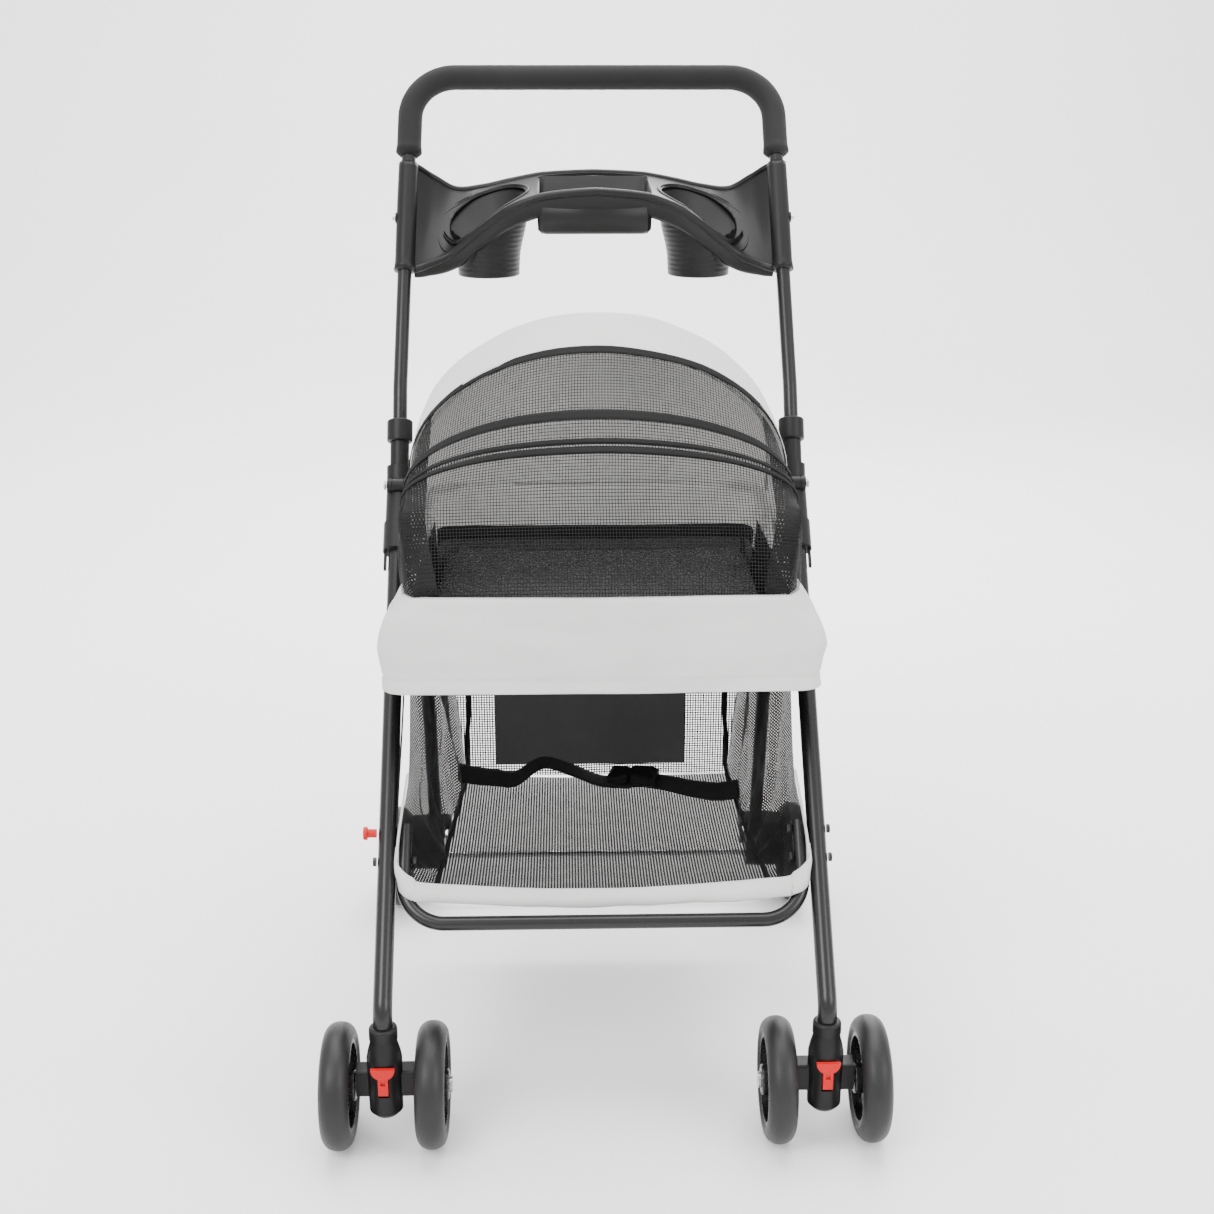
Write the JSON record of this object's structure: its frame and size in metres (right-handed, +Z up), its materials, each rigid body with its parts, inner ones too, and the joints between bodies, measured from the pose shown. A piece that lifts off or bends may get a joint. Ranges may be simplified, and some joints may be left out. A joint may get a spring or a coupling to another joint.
{
  "type": "pet stroller",
  "caption": "Folding pet stroller with a fabric cabin under a mesh window, a mesh basket, a cup tray, a foam-gripped push bar, swivelling twin front wheels and braked rear wheels.",
  "frame": {"origin": "centre of the footprint on the floor", "axes": "+Z up, the front wheels and the cabin door face -Y, +X is to the viewer's right from the front"},
  "size_m": [0.565, 0.707, 1.019],
  "materials": {
    "black_tube": "gloss",
    "black_tyre": "satin",
    "black_rim": "gloss",
    "red_plastic": "satin",
    "grip_foam": "matte",
    "steel": "satin",
    "black_steel": "satin",
    "grey_fabric": "woven",
    "black_mesh": "open mesh",
    "pad_fabric": "woven",
    "webbing": "ribbed",
    "black_plastic": "satin"
  },
  "bodies": {
    "front_frame": {"front_leg_left": "black_tube", "front_leg_right": "black_tube", "leg_knuckle_left": "black_plastic", "leg_knuckle_right": "black_plastic", "caster_socket_left": "black_plastic", "caster_socket_right": "black_plastic", "front_brace": "black_tube", "brace_bolts": "black_steel", "keeper_stud": "red_plastic", "fold_pins": "steel", "seat_pins": "steel", "basket": "black_mesh", "basket_sides": "black_mesh", "basket_strap": "webbing", "strap_buckle": "black_plastic"},
    "handle_frame": {"handle_tube": "black_tube", "handle_grip": "grip_foam", "handle_knuckle_left": "black_plastic", "handle_knuckle_right": "black_plastic", "cup_tray": "black_plastic", "tray_screws": "steel"},
    "seat_frame": {"seat_tube": "black_tube", "seat_rear_bar": "black_tube", "cabin_tub": "grey_fabric", "cabin_pad": "pad_fabric", "front_band": "grey_fabric", "canopy": "grey_fabric", "mesh_window": "black_mesh", "canopy_hoops": "steel"},
    "rear_frame": {"rear_leg_left": "black_tube", "rear_leg_right": "black_tube", "rear_housing_left": "black_plastic", "rear_housing_right": "black_plastic", "rear_axle": "steel", "link_pins": "steel"},
    "caster_left": {"caster_fork_left": "black_plastic", "caster_axle_left": "steel"},
    "lock_left": {"lock_lever_left": "red_plastic"},
    "front_wheel_left_outer": {"front_tyre_left_outer": "black_tyre", "front_rim_left_outer": "black_rim"},
    "front_wheel_left_inner": {"front_tyre_left_inner": "black_tyre", "front_rim_left_inner": "black_rim"},
    "rear_wheel_left": {"rear_tyre_left": "black_tyre", "rear_rim_left": "black_rim"},
    "pedal_left": {"brake_pedal_left": "black_plastic"},
    "sleeve_left": {"fold_sleeve_left": "black_plastic"},
    "caster_right": {"caster_fork_right": "black_plastic", "caster_axle_right": "steel"},
    "lock_right": {"lock_lever_right": "red_plastic"},
    "front_wheel_right_outer": {"front_tyre_right_outer": "black_tyre", "front_rim_right_outer": "black_rim"},
    "front_wheel_right_inner": {"front_tyre_right_inner": "black_tyre", "front_rim_right_inner": "black_rim"},
    "rear_wheel_right": {"rear_tyre_right": "black_tyre", "rear_rim_right": "black_rim"},
    "pedal_right": {"brake_pedal_right": "black_plastic"},
    "sleeve_right": {"fold_sleeve_right": "black_plastic"}
  },
  "joints": [
    {"name": "handle_fold", "type": "hinge", "parent": "front_frame", "child": "handle_frame", "pos_m": [0, 0.08842, 0.57755], "axis": [1, 0, 0], "range_deg": [0, 130], "deforming": ["canopy", "mesh_window", "front_band", "canopy_hoops", "basket_sides"]},
    {"name": "seat_fold", "type": "hinge", "parent": "front_frame", "child": "seat_frame", "pos_m": [0, -0.02584, 0.436], "axis": [1, 0, 0], "range_deg": [0, 36.2], "deforming": ["canopy", "mesh_window", "front_band", "canopy_hoops", "basket_sides"]},
    {"name": "rear_fold", "type": "hinge", "parent": "seat_frame", "child": "rear_frame", "pos_m": [0, 0.12595, 0.436], "axis": [1, 0, 0], "range_deg": [-61, 0], "deforming": ["canopy", "mesh_window", "front_band", "canopy_hoops", "basket_sides"]},
    {"name": "caster_left_swivel", "type": "hinge", "parent": "front_frame", "child": "caster_left", "pos_m": [-0.217, -0.296, 0.1], "axis": [0, 0, 1], "continuous": true},
    {"name": "lock_left_slide", "type": "slide", "parent": "caster_left", "child": "lock_left", "axis": [0, 0, -1], "range_m": [0, 0.005]},
    {"name": "front_wheel_left_outer_spin", "type": "hinge", "parent": "caster_left", "child": "front_wheel_left_outer", "pos_m": [-0.263, -0.29, 0.062], "axis": [1, 0, 0], "continuous": true},
    {"name": "front_wheel_left_inner_spin", "type": "hinge", "parent": "caster_left", "child": "front_wheel_left_inner", "pos_m": [-0.171, -0.29, 0.062], "axis": [1, 0, 0], "continuous": true},
    {"name": "rear_wheel_left_spin", "type": "hinge", "parent": "rear_frame", "child": "rear_wheel_left", "pos_m": [-0.25, 0.216, 0.062], "axis": [1, 0, 0], "continuous": true},
    {"name": "brake_left_pivot", "type": "hinge", "parent": "rear_frame", "child": "pedal_left", "pos_m": [-0.201, 0.239, 0.071], "axis": [1, 0, 0], "range_deg": [-18, 0]},
    {"name": "sleeve_left_slide", "type": "slide", "parent": "handle_frame", "child": "sleeve_left", "axis": [0, 0.4706, 0.8824], "range_m": [0, 0.02]},
    {"name": "caster_right_swivel", "type": "hinge", "parent": "front_frame", "child": "caster_right", "pos_m": [0.217, -0.296, 0.1], "axis": [0, 0, 1], "continuous": true},
    {"name": "lock_right_slide", "type": "slide", "parent": "caster_right", "child": "lock_right", "axis": [0, 0, -1], "range_m": [0, 0.005]},
    {"name": "front_wheel_right_outer_spin", "type": "hinge", "parent": "caster_right", "child": "front_wheel_right_outer", "pos_m": [0.263, -0.29, 0.062], "axis": [1, 0, 0], "continuous": true},
    {"name": "front_wheel_right_inner_spin", "type": "hinge", "parent": "caster_right", "child": "front_wheel_right_inner", "pos_m": [0.171, -0.29, 0.062], "axis": [1, 0, 0], "continuous": true},
    {"name": "rear_wheel_right_spin", "type": "hinge", "parent": "rear_frame", "child": "rear_wheel_right", "pos_m": [0.25, 0.216, 0.062], "axis": [1, 0, 0], "continuous": true},
    {"name": "brake_right_pivot", "type": "hinge", "parent": "rear_frame", "child": "pedal_right", "pos_m": [0.201, 0.239, 0.071], "axis": [1, 0, 0], "range_deg": [-18, 0]},
    {"name": "sleeve_right_slide", "type": "slide", "parent": "handle_frame", "child": "sleeve_right", "axis": [0, 0.4706, 0.8824], "range_m": [0, 0.02]}
  ],
  "couplings": [
    {"joint": "seat_fold", "follows": "handle_fold", "ratio": 0.27805},
    {"joint": "rear_fold", "follows": "handle_fold", "ratio": -0.46894}
  ]
}
